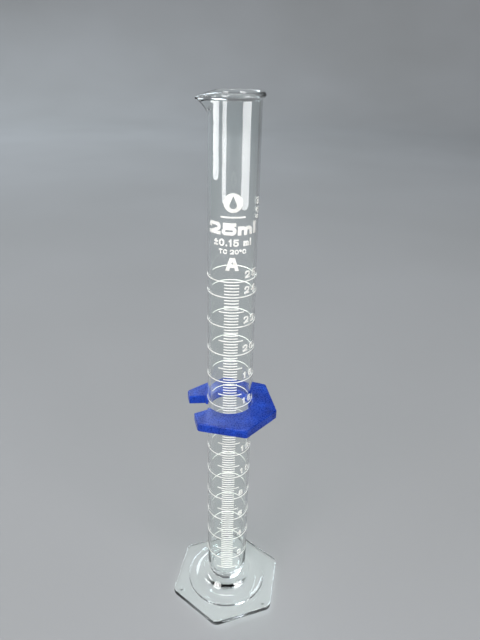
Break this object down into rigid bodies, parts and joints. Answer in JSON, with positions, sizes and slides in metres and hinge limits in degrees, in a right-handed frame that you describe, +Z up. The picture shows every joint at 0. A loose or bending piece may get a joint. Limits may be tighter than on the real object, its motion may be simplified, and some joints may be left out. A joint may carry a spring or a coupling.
{
  "type": "graduated cylinder",
  "caption": "Tall glass measuring cylinder with a pouring lip, a hexagonal foot, a fired white volume scale and a blue plastic guard ring that slides on the tube.",
  "frame": {"origin": "on the surface that the foot stands on, under the middle of the tube", "axes": "+Z up along the tube, the scale faces -Y, the pouring lip points to -X"},
  "size_m": [0.047, 0.0488, 0.212],
  "materials": {
    "clear_glass": "clear borosilicate glass, fire-polished",
    "white_enamel": "opaque white ceramic enamel, fired on, slightly uneven",
    "blue_plastic": "royal blue plastic with a fine, slightly glossy grain"
  },
  "bodies": {
    "cylinder": {"tube": "clear_glass", "foot": "clear_glass", "foot_seal": "clear_glass", "capacity_text": "white_enamel", "class_letter": "white_enamel", "division_text": "white_enamel", "drop_emblem": "white_enamel", "fifth_ml_lines": "white_enamel", "label_rule": "white_enamel", "numeral_02": "white_enamel", "numeral_04": "white_enamel", "numeral_06": "white_enamel", "numeral_08": "white_enamel", "numeral_10": "white_enamel", "numeral_12": "white_enamel", "numeral_14": "white_enamel", "numeral_16": "white_enamel", "numeral_18": "white_enamel", "numeral_20": "white_enamel", "numeral_22": "white_enamel", "numeral_24": "white_enamel", "numeral_25": "white_enamel", "odd_ml_lines": "white_enamel", "ring_line_02": "white_enamel", "ring_line_04": "white_enamel", "ring_line_06": "white_enamel", "ring_line_08": "white_enamel", "ring_line_10": "white_enamel", "ring_line_12": "white_enamel", "ring_line_14": "white_enamel", "ring_line_16": "white_enamel", "ring_line_18": "white_enamel", "ring_line_20": "white_enamel", "ring_line_22": "white_enamel", "ring_line_24": "white_enamel", "ring_line_25": "white_enamel", "temperature_text": "white_enamel", "tolerance_text": "white_enamel"},
    "guard": {"guard": "blue_plastic"}
  },
  "joints": [
    {"name": "guard_slide", "type": "slide", "parent": "cylinder", "child": "guard", "axis": [0, 0, 1], "range_m": [-0.079, 0.105]}
  ]
}
